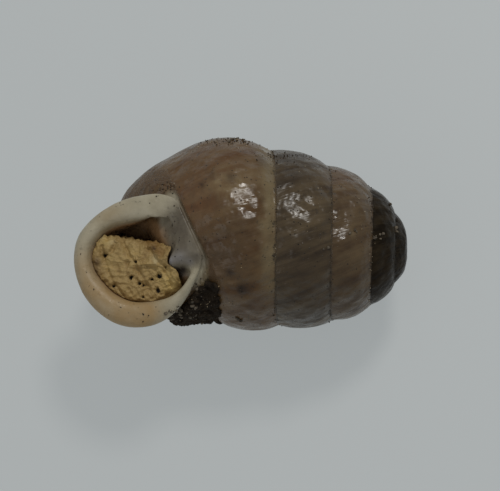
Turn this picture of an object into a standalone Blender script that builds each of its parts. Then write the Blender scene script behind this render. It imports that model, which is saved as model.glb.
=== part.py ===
"""A land snail shell about 3.3 mm long, lying on its side as it comes to rest.

The shell is one hollow spiral tube, wound on itself from the apex to the mouth, where the wall turns outwards
into a thick round lip. Dried remains of the snail plug the mouth, and soil is packed behind the lip.
Lengths are in metres in the scene, with +Z up, and the tables below are in millimetres.
"""

import math

import bmesh
import bpy
import numpy as np
from mathutils import Matrix, Vector, noise

MM = 0.001

# The shell is worked out in a drawing frame: the axis along X with the apex at the origin and the body
# towards -X, +Y up the page and +Z towards the reader, who looks at the mouth. An azimuth of 0 is towards the
# reader, and growth runs from azimuth -90 (down the page) past 0 to +90 (up the page).

# Growth of the spiral, one row for each half turn: turns from the first point of the shell, then in mm the
# seam's depth below the apex, the seam's radius, how far the whorl bulges past its chord, and the depth at
# which the whorl's base meets the axis. The rows past 5.2 turns only carry the last seam's line on.
GROWTH = (
    (0.0, 0.000, 0.000, 0.034, 0.36),
    (0.5, 0.040, 0.150, 0.036, 0.56),
    (1.0, 0.100, 0.280, 0.038, 0.80),
    (1.5, 0.186, 0.405, 0.042, 1.06),
    (2.0, 0.304, 0.525, 0.046, 1.33),
    (2.5, 0.464, 0.634, 0.052, 1.60),
    (3.0, 0.664, 0.724, 0.056, 1.86),
    (3.5, 0.905, 0.791, 0.064, 2.14),
    (4.0, 1.186, 0.842, 0.080, 2.44),
    (4.5, 1.486, 0.868, 0.094, 2.84),
    (5.0, 1.806, 0.866, 0.076, 3.10),
    (5.5, 2.180, 0.846, 0.066, 3.18),
    (6.0, 2.370, 0.814, 0.060, 3.22),
    (6.5, 2.520, 0.780, 0.056, 3.26),
)
TURNS = 5.2
STEPS_PER_TURN = 30
SEAM_AZIMUTH = math.radians(-20.6)
# The whorl's outline is two Bezier curves. These are the lengths of their handles: from the upper seam and
# back from the lower one, in shares of the chord, then down the base and out along it, in shares of its reach.
UPPER_HANDLE = 0.24
LOWER_HANDLE = 0.30
BASE_DESCENT = 0.55
BASE_FULLNESS = 0.50

# The profile values on each side of a point that give the outline's direction there.
SLOPE_STEP = 0.02

# The whorl is sampled from its upper seam to the line of the next seam, and from there down to the axis.
SIDE_SEGMENTS = 6
NECK_STEPS = 7
PARIETAL_SHARES = (0.0, 0.18, 0.36, 0.52, 0.64, 0.75, 0.84, 0.92, 1.0)
PARIETAL_SEGMENTS = len(PARIETAL_SHARES) - 1
BASE_SEGMENTS = PARIETAL_SEGMENTS + NECK_STEPS
COLUMN_SEGMENTS = SIDE_SEGMENTS + BASE_SEGMENTS
RELAX_STEPS = 14

# How far the middle of the first turn stands over its edge.
APEX_RISE = 0.01

# The navel at the foot of the axis, and the rod of shell that the spiral winds round.
NAVEL_RADIUS = 0.10
NAVEL_DEPTH = 2.52
ROD_RADIUS = 0.07
ROD_RADIUS_AT_BASE = 0.17
ROD_CUT_AT_MOUTH = 0.10

# Wall thickness, and the thinner glaze where the tube lies against the whorl before it.
WALL = 0.060
GLAZE = 0.030
HOLLOW_FROM_TURN = 1.3
HOLLOW_STEP = 2

# The mouth's plane, by its middle and its slope, and where its rim meets the body on the axis side.
MOUTH_DEPTH = 2.67
MOUTH_DROP = 0.373
MOUTH_FORWARD = 0.66
MOUTH_SLOPE_X = 0.22
MOUTH_SLOPE_Y = -0.07
CORNER_DEPTH = 2.33
CORNER_RISE = 0.292

# The rim's outer and inner outlines in that plane: angle in degrees from the apex side, radius in mm.
RIM_OUTER = (
    (8, 0.665), (35, 0.690), (63, 0.745), (76, 0.715), (92, 0.655), (110, 0.615), (142, 0.610), (170, 0.630),
    (196, 0.622), (214, 0.618), (246, 0.645), (280, 0.668), (305, 0.655), (323, 0.625), (345, 0.620),
)
RIM_INNER = (
    (0, 0.545), (35, 0.420), (62, 0.420), (86, 0.385), (110, 0.385), (131, 0.410), (150, 0.440), (180, 0.465),
    (207, 0.420), (231, 0.392), (257, 0.386), (280, 0.400), (301, 0.425), (322, 0.490), (340, 0.530),
)
# How the lip is turned out: share of the way from the inner to the outer outline, height over the plane, how
# much of that way inwards is kept where the lip joins the body, and by how many degrees its end by the seam is
# turned down into the corner.
LIP_BACK = ((0.22, -0.235, 0.45, 0), (0.62, -0.165, 0.45, 0), (0.93, -0.125, 0.45, 0))
LIP_FACE = (
    (1.00, -0.070, 0.8, 0), (0.74, -0.006, 0.8, 4), (0.38, 0.012, 0.8, 9), (0.10, -0.020, 0.8, 12),
    (0.00, -0.075, 0.8, 13),
)
# The same rings where the lip runs over the body as a callus: share as above, and height over the body.
CALLUS = (
    (1.00, 0.020), (0.97, 0.036), (0.92, 0.044), (0.80, 0.044), (0.58, 0.038), (0.34, 0.032), (0.15, 0.030),
)
LIP_EASE_DEG = 42.0
# The neck keeps clear of the body: the gap grows line by line from the seam and from the axis side.
NECK_LEAVE = 0.85
NECK_SEAM_LINES = 7
NECK_GAP_PER_LINE = 0.035
NECK_GAP = 0.10

# The tooth is a fin on the wall of the body, just inside the corner where the outer lip joins it.
TOOTH_WIDTH = ((3, 0.12), (4, 0.45), (5, 1.00), (6, 0.35), (7, 0.05))
TOOTH_HEIGHTS = (0.00, 0.03, 0.08, 0.13, 0.17)
TOOTH_FADE = (0.19, 0.16, 0.10, 0.04)
TOOTH_TOWARDS = Vector((-0.92, -0.28, 0.18)).normalized()

# The dried plug: how far its front edge is behind the lip on the free side, its rounded front face as rings
# (size, height), how deep it goes in columns, how often its corners are rounded, how far it keeps from the
# tooth, the rise at which it is broken off along the top, and the size and pitch of its lumps, in mm.
PLUG_FRONT = 0.75
PLUG_FACE = ((0.80, 0.030), (0.52, 0.050), (0.24, 0.045))
PLUG_COLUMNS = 3
PLUG_ROUNDING = 4
PLUG_TOOTH_GAP = 0.13
PLUG_TOP = -0.15
PLUG_SIZE = 0.93
PLUG_LUMPS = 0.012
PLUG_LUMP_PITCH = 0.17

# The soil lies along the seam behind the lip and on round to the underside, where it props the shell: each
# column that it covers, counted back from the mouth, with its thickness there, then its lines above and below
# the seam, its gap from the shell, its edge's share of the thickness, and the size and pitch of its lumps.
SOIL_COLUMNS = (
    (1, 0.055), (2, 0.080), (3, 0.070), (4, 0.035), (5, 0.014), (6, 0.014),
    (7, 0.030), (8, 0.075), (9, 0.155), (10, 0.110),
)
SOIL_ABOVE = 1
SOIL_BELOW = 4
SOIL_GAP = 0.008
SOIL_EDGE = 0.12
SOIL_LUMPS = 0.45
SOIL_LUMP_PITCH = 0.11

# The way up when the shell lies at rest, in the drawing frame: it lies on the bulges of its last whorls and on
# the soil, which keeps it from rolling, with the apex a little lower than the lip and the mouth turned up.
REST_UP = Vector((-0.08368, 0.22416, 0.97095))


def hermite(start, leave, end, arrive, t):
    """A cubic from start to end with these slopes at its ends."""
    u = 1 - t
    return start * (1 + 2 * t) * u * u + leave * t * u * u + end * t * t * (3 - 2 * t) - arrive * t * t * u


def smooth_step(x):
    x = min(max(x, 0.0), 1.0)
    return x * x * (3 - 2 * x)


def through_table(turn, column):
    """The value of one GROWTH column at a turn, on a smooth curve through the rows."""
    spacing = GROWTH[1][0] - GROWTH[0][0]
    i = min(max(int(turn / spacing), 0), len(GROWTH) - 2)
    before, low, high, after = (GROWTH[min(max(i + k, 0), len(GROWTH) - 1)][column] for k in (-1, 0, 1, 2))
    leave = (high - before) / (2 if i > 0 else 1)
    return hermite(low, leave, high, (after - low) / 2, turn / spacing - i)


def seam(turn):
    """Depth and radius of the seam line."""
    return Vector((through_table(turn, 1), through_table(turn, 2)))


def bezier(p0, p1, p2, p3, t):
    """A point of a cubic Bezier curve."""
    u = 1 - t
    return p0 * u**3 + p1 * 3 * u * u * t + p2 * 3 * u * t * t + p3 * t**3


def profile(turn, s):
    """Depth and radius on the whorl's outline: s runs 0 to 1 between the seams and on to 2 at the axis."""
    upper, lower = seam(turn), seam(turn + 1)
    chord = lower - upper
    out = Vector((-chord.y, chord.x)).normalized()
    lift = out * through_table(turn, 3) * 4 / 3
    start_handle = upper + chord * UPPER_HANDLE + lift
    end_handle = lower - chord * LOWER_HANDLE + lift
    if s <= 1:
        return bezier(upper, start_handle, end_handle, lower, s)
    base = Vector((through_table(turn, 4), 0))
    heading = (lower - end_handle).normalized()
    reach = (base.x - lower.x) * BASE_DESCENT
    return bezier(lower, lower + heading * reach, base + Vector((0, lower.y * BASE_FULLNESS)), base, s - 1)


def azimuth(turn):
    return SEAM_AZIMUTH - 2 * math.pi * (TURNS - turn)


def place(turn, depth, radius):
    """A point in the drawing frame from its turn, depth and radius."""
    angle = azimuth(turn)
    return Vector((-depth, radius * math.sin(angle), radius * math.cos(angle)))


def body_point(turn, s):
    """A point of the outside of the shell. Near the axis the base dips into the navel."""
    depth, radius = profile(turn, s)
    if turn > TURNS - 1.01 and radius < NAVEL_RADIUS:
        rise = radius / NAVEL_RADIUS
        depth = NAVEL_DEPTH + (depth - NAVEL_DEPTH) * rise * rise * (3 - 2 * rise)
    return place(turn, depth, radius)


def turn_under(y, z):
    """The turn of the whorl that the last one lies on, on the meridian through this point."""
    return TURNS - 1 + (math.atan2(y, z) - SEAM_AZIMUTH) / (2 * math.pi)


def share_at_depth(turn, depth):
    """The profile value at which the whorl's outline reaches a depth."""
    low, high = 0.2, 2.0
    for _ in range(24):
        middle = (low + high) / 2
        low, high = (middle, high) if profile(turn, middle).x < depth else (low, middle)
    return low


def share_at_radius(turn, radius):
    """The profile value below the seam line at which the whorl's outline comes this near the axis."""
    low, high = 1.0, 2.0
    for _ in range(24):
        middle = (low + high) / 2
        low, high = (middle, high) if profile(turn, middle).y > radius else (low, middle)
    return low


def outward_at(turn, s):
    """The direction straight out of the body at a turn and profile value."""
    along = (profile(turn, s + SLOPE_STEP) - profile(turn, s - SLOPE_STEP)).normalized()
    angle = azimuth(turn)
    return Vector((along.y, along.x * math.sin(angle), along.x * math.cos(angle)))


def body_under(depth, rise):
    """Turn and profile value of the body's point at this depth and rise, on the reader's side."""
    forward = 0.8
    for _ in range(12):
        turn = turn_under(rise, forward)
        s = share_at_depth(turn, depth)
        forward = math.sqrt(max(profile(turn, s).y ** 2 - rise**2, 1e-4))
    return turn, s


def over_body(turn, s, height):
    """A point this high over the body."""
    return place(turn, *profile(turn, s)) + outward_at(turn, s) * height


def clear_of_body(point, gap):
    """The point, moved straight away from the axis where it is nearer the body than the gap."""
    turn = turn_under(point.y, point.z)
    least = profile(turn, share_at_depth(turn, -point.x)).y + gap
    radius = math.hypot(point.y, point.z)
    if radius >= least:
        return point
    return Vector((point.x, point.y * least / radius, point.z * least / radius))


def outline_radius(outline, degrees):
    """Radius of a closed outline at an angle, on a smooth curve through its points."""
    degrees %= 360
    rows = [(angle + lap, radius) for lap in (-360, 0, 360) for angle, radius in outline]
    i = sum(angle <= degrees for angle, _ in rows) - 1
    (a0, r0), (a1, r1), (a2, r2), (a3, r3) = rows[i - 1 : i + 3]
    width = a2 - a1
    leave, arrive = (r2 - r0) / (a2 - a0) * width, (r3 - r1) / (a3 - a1) * width
    return hermite(r1, leave, r2, arrive, (degrees - a1) / width)


MOUTH_CENTRE = Vector((-MOUTH_DEPTH, -MOUTH_DROP, MOUTH_FORWARD))
MOUTH_NORMAL = Vector((-MOUTH_SLOPE_X, -MOUTH_SLOPE_Y, 1)).normalized()


def mouth_point(degrees, radius, height):
    """A point by its angle and radius as the reader sees the mouth, and its height over the mouth's plane."""
    angle = math.radians(degrees)
    x, y = radius * math.cos(angle), radius * math.sin(angle)
    return MOUTH_CENTRE + Vector((x, y, MOUTH_SLOPE_X * x + MOUTH_SLOPE_Y * y)) + MOUTH_NORMAL * height


def mouth_angle(point):
    return math.degrees(math.atan2(point.y - MOUTH_CENTRE.y, point.x - MOUTH_CENTRE.x))


SEAM_END = place(TURNS, *seam(TURNS))
CORNER_TURN, CORNER_S = body_under(CORNER_DEPTH, CORNER_RISE)
CORNER = over_body(CORNER_TURN, CORNER_S, 0)
SEAM_ANGLE = mouth_angle(SEAM_END)
CORNER_ANGLE = mouth_angle(CORNER)


RIM_COUNT = COLUMN_SEGMENTS + PARIETAL_SEGMENTS


def lip_ease(degrees):
    """0 where the lip joins the body, 1 where it stands free."""
    from_seam = (SEAM_ANGLE - degrees) % 360
    from_corner = (degrees - CORNER_ANGLE) % 360
    return smooth_step(min(from_seam, from_corner) / LIP_EASE_DEG)


def parietal_line():
    """Turn and profile value along the body from the corner back to the seam's end."""
    line = []
    for share in PARIETAL_SHARES[1:-1]:
        depth = CORNER_DEPTH + (-SEAM_END.x - CORNER_DEPTH) * share
        rise = CORNER_RISE + (SEAM_END.y - CORNER_RISE) * share
        line.append(body_under(depth, rise))
    return line


PARIETAL = parietal_line()


def free_rim_ring(share, height, hold, turned):
    """One ring of the free lip, from the seam round to the corner, by a row of LIP_BACK or LIP_FACE."""
    start = SEAM_ANGLE - turned
    ring = []
    for k in range(COLUMN_SEGMENTS + 1):
        angle = start - (start + 360 - CORNER_ANGLE) * k / COLUMN_SEGMENTS
        inner = outline_radius(RIM_INNER, angle)
        outer = outline_radius(RIM_OUTER, angle)
        ease = lip_ease(angle)
        at_join = 1 + (share - 1) * (hold + (1 - hold) * ease)
        point = mouth_point(angle, inner + (outer - inner) * at_join, height * (0.12 + 0.88 * ease))
        ring.append(clear_of_body(point, GLAZE))
    return ring


def neck_end():
    """Where the last column of the body ends: the tube's outside just behind the lip."""
    ring = free_rim_ring(*LIP_BACK[0])
    ring[0] = SEAM_END
    ring[-1] = CORNER
    return ring


def side_share(j):
    """The profile value of the j-th point of a regular column."""
    if j <= SIDE_SEGMENTS:
        return j / SIDE_SEGMENTS
    return 1 + ((j - SIDE_SEGMENTS) / BASE_SEGMENTS) ** 0.9


def body_path():
    """Turn and profile value along the body from the seam's end to the corner and on to the navel."""
    path = [(TURNS - 1, 1.0), *reversed(PARIETAL), (CORNER_TURN, CORNER_S)]
    for k in range(1, NECK_STEPS + 1):
        share = k / NECK_STEPS
        path.append((CORNER_TURN, CORNER_S + (2 - CORNER_S) * share))
    return path


BODY_PATH = body_path()


def column_address(i, j, last):
    """Turn and profile value of point j of column i, of which last is the one at the mouth."""
    turn = TURNS - (last - i) / STEPS_PER_TURN
    s = side_share(j)
    from_start = i - (last - STEPS_PER_TURN)
    if j > SIDE_SEGMENTS and 0 <= from_start < RELAX_STEPS:
        share = from_start / RELAX_STEPS
        start_turn, start_s = BODY_PATH[j - SIDE_SEGMENTS]
        end_turn = TURNS - 1 + RELAX_STEPS / STEPS_PER_TURN
        return start_turn + (end_turn - start_turn) * share, start_s + (s - start_s) * share
    return turn, s


def neck_columns(first, before):
    """Columns from the last regular one to the mouth: each line of the whorl bends smoothly into the neck."""
    end = neck_end()
    just_before = TURNS - 1 / STEPS_PER_TURN
    along_seam = (SEAM_END - place(just_before, *seam(just_before))).normalized()
    columns = []
    for k in range(1, NECK_STEPS + 1):
        t = k / NECK_STEPS
        column = []
        for j, (start, stop) in enumerate(zip(first, end)):
            reach = (stop - start).length
            leave = (start - before[j]) * NECK_STEPS * NECK_LEAVE
            near_seam = 1 - smooth_step(j / NECK_SEAM_LINES)
            arrive = MOUTH_NORMAL.lerp(along_seam, near_seam).normalized() * reach
            gap = min(j, COLUMN_SEGMENTS - j) * NECK_GAP_PER_LINE
            column.append(clear_of_body(hermite(start, leave, stop, arrive, t), min(gap, NECK_GAP)))
        columns.append(column)
    return columns


def outer_columns():
    """Every column of the outside as points, from the first point of the shell to the mouth."""
    last = round(TURNS * STEPS_PER_TURN)
    neck_from = last - NECK_STEPS
    columns = []
    for i in range(neck_from + 1):
        rows = COLUMN_SEGMENTS if i >= last - STEPS_PER_TURN else SIDE_SEGMENTS
        columns.append([body_point(*column_address(i, j, last)) for j in range(rows + 1)])
    columns += neck_columns(columns[neck_from], columns[neck_from - 1])
    path = [body_point(turn, s) for turn, s in BODY_PATH]
    columns[last - STEPS_PER_TURN][SIDE_SEGMENTS:] = path
    for k in range(NECK_STEPS + 1):
        i = neck_from + k
        turn = TURNS - (last - i) / STEPS_PER_TURN
        columns[i][0] = place(turn, *seam(turn))
        columns[i][-1] = path[PARIETAL_SEGMENTS + NECK_STEPS - k]
    for i in range(last - STEPS_PER_TURN + 1):
        if i + STEPS_PER_TURN <= last:
            columns[i][SIDE_SEGMENTS] = columns[i + STEPS_PER_TURN][0]
    return columns


def whorl_outline(i, last, columns):
    """The outside of the tube at column i from its seam to its foot, and the way inwards at each point."""
    turn = TURNS - (last - i) / STEPS_PER_TURN
    points, inwards = [], []
    for j in range(COLUMN_SEGMENTS + 1):
        if i <= last - NECK_STEPS:
            s = side_share(j)
            points.append(place(turn, *profile(turn, s)))
            inwards.append(-outward_at(turn, min(s, 2 - 1.5 * SLOPE_STEP)))
            continue
        points.append(columns[i][j])
        along = columns[min(i + 1, last)][j] - columns[i - 1][j]
        across = columns[i][min(j + 1, COLUMN_SEGMENTS)] - columns[i][max(j - 1, 0)]
        inwards.append(across.cross(along).normalized())
    return points, inwards


def body_clearance(point, turn):
    """How far outside the whorl before, of this turn, a point lies."""
    return math.hypot(point.y, point.z) - profile(turn, share_at_depth(turn, -point.x)).y


def free_stretch(points, turns, gap, rod):
    """The part of a line that is clear of the body and of the rod, cut at both ends and divided evenly."""
    room = [
        min(body_clearance(point, turn) - gap, math.hypot(point.y, point.z) - rod)
        for point, turn in zip(points, turns)
    ]
    first = final = len(room) // 2
    while first > 0 and room[first - 1] > 0:
        first -= 1
    while final + 1 < len(room) and room[final + 1] > 0:
        final += 1
    start = first - room[first] / (room[first] - room[first - 1]) if first > 0 else 0.0
    stop = final + room[final] / (room[final] - room[final + 1]) if final + 1 < len(room) else float(final)
    stretch = []
    for k in range(len(points)):
        position = start + (stop - start) * k / (len(points) - 1)
        low = min(int(position), len(points) - 2)
        stretch.append(points[low].lerp(points[low + 1], position - low))
    return stretch


def hollow_loop(i, last, columns):
    """The hollow's outline at column i, and turn and profile value of its points on the whorl before."""
    turn = TURNS - (last - i) / STEPS_PER_TURN
    size = min(1.0, 0.45 + 0.55 * turn / 2.5)
    early = smooth_step((TURNS - 1 - turn) / 1.5)
    rod = ROD_RADIUS_AT_BASE + (ROD_RADIUS - ROD_RADIUS_AT_BASE) * early
    rod -= ROD_CUT_AT_MOUTH * max(1 - (last - i) / NECK_STEPS, 0)
    outline, inwards = whorl_outline(i, last, columns)
    inner = [point + inward * WALL * size for point, inward in zip(outline, inwards)]
    in_neck = i > last - NECK_STEPS
    turns = [turn_under(point.y, point.z) if in_neck else turn - 1 for point in inner]
    stretch = free_stretch(inner, turns, GLAZE * size, rod)
    seam_side, axis_side = stretch[0], stretch[-1]
    if in_neck:
        start_turn = turn_under(axis_side.y, axis_side.z)
        start_s = share_at_depth(start_turn, -axis_side.x)
        end_turn = turn_under(seam_side.y, seam_side.z)
    else:
        start_turn = end_turn = turn - 1
        start_s = share_at_radius(start_turn, rod)
    end_s = share_at_depth(end_turn, -seam_side.x)
    addresses = []
    for share in PARIETAL_SHARES[1:-1]:
        addresses.append((start_turn + (end_turn - start_turn) * share, start_s + (end_s - start_s) * share))
    return stretch + [over_body(*address, GLAZE * size) for address in addresses], addresses


def hollow_loops(columns):
    """The rings of the hollow from the throat back to the early whorls, and the first ring's addresses."""
    last = len(columns) - 1
    stations = list(range(last, last - NECK_STEPS + 1, -1))
    stations += list(range(last - NECK_STEPS, round(HOLLOW_FROM_TURN * STEPS_PER_TURN), -HOLLOW_STEP))
    made = [hollow_loop(i, last, columns) for i in stations]
    return [points for points, _ in made], made[0][1]


def lip_rings(throat):
    """The lip's rings from the neck outwards, over the rim and in to the throat with these addresses."""
    rings = []
    for free_part, (on_body, ridge) in zip(LIP_BACK[1:] + LIP_FACE, CALLUS):
        callus = []
        for (turn, s), (throat_turn, throat_s) in zip(PARIETAL, throat):
            turn_there = throat_turn + (turn - throat_turn) * on_body
            callus.append(over_body(turn_there, throat_s + (s - throat_s) * on_body, ridge))
        rings.append(free_rim_ring(*free_part) + callus)
    return rings


def add_tooth(rings, loops):
    """Raises the fin: it climbs over the last rings of the lip and sinks away inside the tube."""
    for ring, height in zip(rings[-len(TOOTH_HEIGHTS) :] + loops, TOOTH_HEIGHTS + TOOTH_FADE):
        for line, part in TOOTH_WIDTH:
            ring[COLUMN_SEGMENTS + line] = ring[COLUMN_SEGMENTS + line] + TOOTH_TOWARDS * height * part


def shell_surfaces():
    """The shell's outside columns, the rings of its lip and the loops of its hollow."""
    columns = outer_columns()
    loops, throat = hollow_loops(columns)
    rings = lip_rings(throat)
    add_tooth(rings, loops)
    return columns, rings, loops


def build_shell_mesh(columns, rings, loops):
    """The whole shell as one closed surface: outside, lip, hollow and the cap over the apex."""
    last = len(columns) - 1
    first_full = last - STEPS_PER_TURN
    mesh = bmesh.new()
    made = []
    for column in columns:
        made.append([mesh.verts.new(point * MM) for point in column])
    for i in range(last + 1):
        if i + STEPS_PER_TURN <= last:
            mesh.verts.remove(made[i][SIDE_SEGMENTS])
            made[i][SIDE_SEGMENTS] = made[i + STEPS_PER_TURN][0]
    parietal_column = made[first_full]
    foot = parietal_column[-1]
    for i in range(first_full + 1, last - NECK_STEPS + 1):
        mesh.verts.remove(made[i][-1])
        made[i][-1] = foot
    for k in range(1, NECK_STEPS + 1):
        i = last - NECK_STEPS + k
        mesh.verts.remove(made[i][-1])
        made[i][-1] = parietal_column[COLUMN_SEGMENTS - k]

    def face(*corners):
        distinct = list(dict.fromkeys(corners))
        if len(distinct) > 2:
            mesh.faces.new(distinct)

    for i in range(last):
        rows = COLUMN_SEGMENTS if i >= first_full else SIDE_SEGMENTS
        for j in range(rows):
            face(made[i][j], made[i + 1][j], made[i + 1][j + 1], made[i][j + 1])

    def stitch(one, other):
        for k in range(RIM_COUNT):
            after = (k + 1) % RIM_COUNT
            face(one[k], other[k], other[after], one[after])

    body_line = parietal_column[SIDE_SEGMENTS + 1 : SIDE_SEGMENTS + PARIETAL_SEGMENTS]
    ring = made[last] + list(reversed(body_line))
    for points in rings + loops:
        following = [mesh.verts.new(point * MM) for point in points]
        stitch(ring, following)
        ring = following
    tip = mesh.verts.new(sum((v.co for v in ring), Vector()) / RIM_COUNT)
    for k in range(RIM_COUNT):
        face(ring[k], tip, ring[(k + 1) % RIM_COUNT])

    apex_edge = [made[i][0] for i in range(STEPS_PER_TURN + 1)] + list(reversed(made[0][1:SIDE_SEGMENTS]))
    middle = sum((v.co for v in apex_edge), Vector()) / len(apex_edge)
    centre = mesh.verts.new(middle + Vector((APEX_RISE * MM, 0, 0)))
    for k, vertex in enumerate(apex_edge):
        face(centre, vertex, apex_edge[(k + 1) % len(apex_edge)])
    bmesh.ops.recalc_face_normals(mesh, faces=mesh.faces)
    return mesh


def plug_ring(loop):
    """The plug's outline in a loop of the hollow: broken off at the top, rounded at corners, and smaller."""
    ring = [Vector((p.x, min(p.y, PLUG_TOP), p.z)) for p in loop]
    for _ in range(PLUG_ROUNDING):
        ring = [(ring[k - 1] + ring[k] * 2 + ring[(k + 1) % len(ring)]) / 4 for k in range(len(ring))]
    for line, part in TOOTH_WIDTH:
        ring[COLUMN_SEGMENTS + line] += TOOTH_TOWARDS * PLUG_TOOTH_GAP * math.sqrt(part)
    centre = sum(ring, Vector()) / len(ring)
    return [centre + (point - centre) * PLUG_SIZE for point in ring]


def lumpy(point, size, pitch):
    """A point moved by up to this size, in a pattern that depends only on where it is."""
    return point + noise.noise_vector(point / pitch) * size


def closed_tube(rings, front, back):
    """A closed surface over rings of equal count, with a point at each end."""
    mesh = bmesh.new()
    made = [[mesh.verts.new(point * MM) for point in ring] for ring in rings]
    count = len(rings[0])
    for one, other in zip(made, made[1:]):
        for k in range(count):
            after = (k + 1) % count
            mesh.faces.new((one[k], other[k], other[after], one[after]))
    for ring, end in ((made[0], front), (made[-1], back)):
        tip = mesh.verts.new(end * MM)
        for k in range(count):
            mesh.faces.new((tip, ring[k], ring[(k + 1) % count]))
    bmesh.ops.recalc_face_normals(mesh, faces=mesh.faces)
    return mesh


def build_plug_mesh(rings, loops):
    """The dried matter: it follows the hollow inwards, and its front face is uneven."""
    edge = [at_lip.lerp(inside, PLUG_FRONT) for at_lip, inside in zip(rings[-1], loops[0])]
    tube = [plug_ring(loop) for loop in [edge] + loops[1:PLUG_COLUMNS]]
    centre = sum(tube[0], Vector()) / len(tube[0])
    face = []
    for size, height in PLUG_FACE:
        ring = [centre + (point - centre) * size + MOUTH_NORMAL * height for point in tube[0]]
        face.append([lumpy(point, PLUG_LUMPS, PLUG_LUMP_PITCH) for point in ring])
    front = centre + MOUTH_NORMAL * PLUG_FACE[-1][1]
    return closed_tube(list(reversed(face)) + tube, front, sum(tube[-1], Vector()) / len(tube[-1]))


def arch(step, count):
    """A half wave over this many steps: nearly 0 at the first and the last, 1 in the middle."""
    return math.sin(math.pi * (step + 0.15) / (count - 0.7))


def build_soil_mesh(columns):
    """The soil: a pad over the shell's own surface on both sides of the seam, with a lump on the underside."""
    last = len(columns) - 1
    base = []
    for back, _ in SOIL_COLUMNS:
        i = last - back
        above = columns[i - STEPS_PER_TURN][SIDE_SEGMENTS - SOIL_ABOVE : SIDE_SEGMENTS]
        base.append(above + columns[i][: SOIL_BELOW + 1])
    rows, lines = len(base), len(base[0])
    under, top = [], []
    for a in range(rows):
        thickness = SOIL_COLUMNS[a][1]
        for b in range(lines):
            along = base[min(a + 1, rows - 1)][b] - base[max(a - 1, 0)][b]
            across = base[a][min(b + 1, lines - 1)] - base[a][max(b - 1, 0)]
            outward = across.cross(along).normalized()
            swell = max(arch(b, lines), SOIL_EDGE)
            lumps = 1 + SOIL_LUMPS * noise.noise(base[a][b] / SOIL_LUMP_PITCH)
            under.append(base[a][b] + outward * SOIL_GAP)
            top.append(base[a][b] + outward * (SOIL_GAP + thickness * swell * lumps))
    mesh = bmesh.new()
    below = [mesh.verts.new(point * MM) for point in under]
    above = [mesh.verts.new(point * MM) for point in top]
    for a in range(rows - 1):
        for b in range(lines - 1):
            here, below_it = a * lines + b, (a + 1) * lines + b
            corners = (here, here + 1, below_it + 1, below_it)
            mesh.faces.new([above[k] for k in corners])
            mesh.faces.new([below[k] for k in reversed(corners)])
    border = list(range(lines))
    border += [a * lines + lines - 1 for a in range(1, rows)]
    border += [(rows - 1) * lines + b for b in range(lines - 2, -1, -1)]
    border += [a * lines for a in range(rows - 2, 0, -1)]
    for k, one in enumerate(border):
        other = border[(k + 1) % len(border)]
        mesh.faces.new((above[one], above[other], below[other], below[one]))
    bmesh.ops.recalc_face_normals(mesh, faces=mesh.faces)
    return mesh


def clear_scene():
    for obj in list(bpy.data.objects):
        bpy.data.objects.remove(obj, do_unlink=True)


def finish_material(name, colour, roughness):
    material = bpy.data.materials.new(name)
    material.use_nodes = True
    shader = material.node_tree.nodes["Principled BSDF"]
    shader.inputs["Base Color"].default_value = (*colour, 1)
    shader.inputs["Roughness"].default_value = roughness
    return material


def add_object(name, mesh, collection, material):
    data = bpy.data.meshes.new(name)
    mesh.to_mesh(data)
    mesh.free()
    data.materials.append(material)
    data.shade_smooth()
    obj = bpy.data.objects.new(name, data)
    collection.objects.link(obj)
    return obj


def lay_down(meshes):
    """Turns the meshes to the resting pose, on the ground, with the middle of their box over the origin."""
    up = REST_UP.normalized()
    right = (Vector((1, 0, 0)) - up * up.x).normalized()
    turn = Matrix((right, up.cross(right), up)).to_4x4()
    for mesh in meshes:
        mesh.transform(turn)
    points = np.array([vertex.co for mesh in meshes for vertex in mesh.verts])
    low, high = points.min(axis=0), points.max(axis=0)
    shift = Matrix.Translation((-(low[0] + high[0]) / 2, -(low[1] + high[1]) / 2, -low[2]))
    for mesh in meshes:
        mesh.transform(shift)


def main():
    clear_scene()
    parts = bpy.data.collections.new("land_snail_shell")
    bpy.context.scene.collection.children.link(parts)
    columns, rings, loops = shell_surfaces()
    meshes = {
        "shell": build_shell_mesh(columns, rings, loops),
        "dried_plug": build_plug_mesh(rings, loops),
        "soil_clump": build_soil_mesh(columns),
    }
    finishes = {
        "shell": finish_material("horn_brown_shell", (0.21, 0.15, 0.10), 0.42),
        "dried_plug": finish_material("dried_tissue", (0.55, 0.42, 0.20), 0.75),
        "soil_clump": finish_material("dark_soil", (0.06, 0.05, 0.04), 0.95),
    }
    lay_down(meshes.values())
    for name, mesh in meshes.items():
        add_object(name, mesh, parts, finishes[name])


main()
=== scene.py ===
# %% [markdown]
# A land snail shell three millimetres long, lying on a pale table with its mouth turned up to the camera.
#
# The solid model of the shell is packed as a fixed frame. This lesson dresses it: it rounds the facets,
# lays the growth lines into the surface, crumples the dried film in the mouth, packs soil behind the lip
# and scatters grit along the seams. No piece is moved or resized as a whole, so each still sits where the
# solid model says.

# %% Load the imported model
import math
import random

import bpy
import numpy as np
from mathutils import Matrix, Vector, noise
from mathutils.bvhtree import BVHTree


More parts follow.
